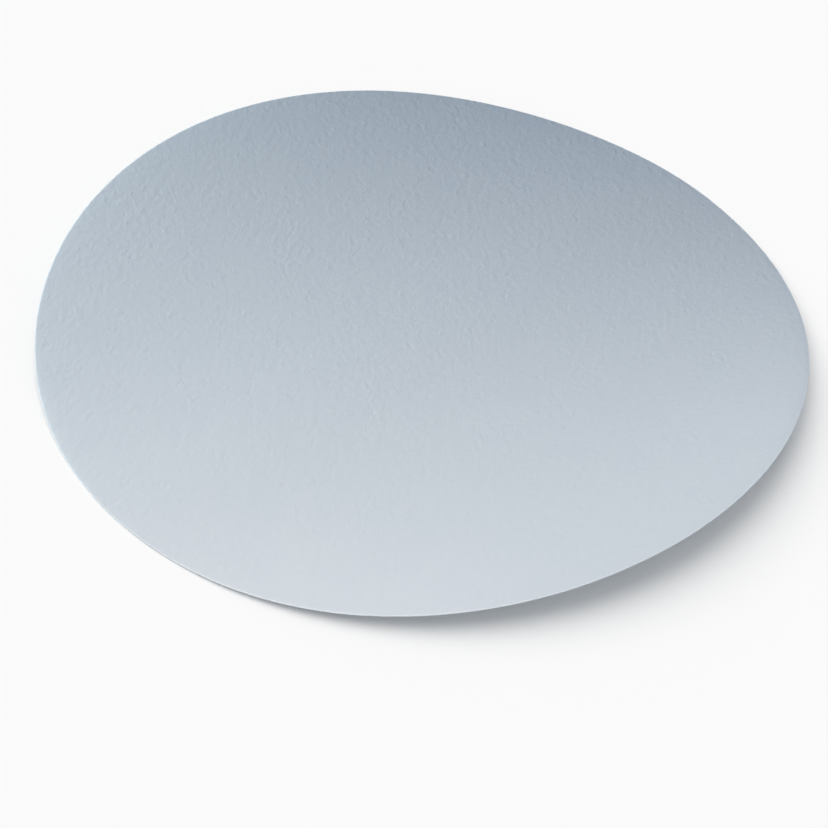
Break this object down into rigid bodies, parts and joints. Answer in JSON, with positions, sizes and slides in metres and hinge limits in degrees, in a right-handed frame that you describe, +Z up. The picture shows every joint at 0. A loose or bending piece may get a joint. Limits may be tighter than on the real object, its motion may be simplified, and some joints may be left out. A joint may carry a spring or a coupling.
{
  "type": "filter paper disc",
  "caption": "Round flat filter paper disc for laboratory filtration, one thin sheet of unglazed white paper lying loose with a slight natural curl.",
  "frame": {"origin": "On the surface that the disc lies on, under the disc's centre, in the middle of the band of its underside that touches the surface", "axes": "+Z up, out of the upper face; Y runs along the valley of the curl; +X and -X point to the two raised sides"},
  "size_m": [0.1242, 0.125, 0.0059],
  "materials": {
    "filter_paper": "unglazed, fine-fibred, matte"
  },
  "bodies": {
    "root": {"filter_disc": "filter_paper"}
  },
  "joints": []
}
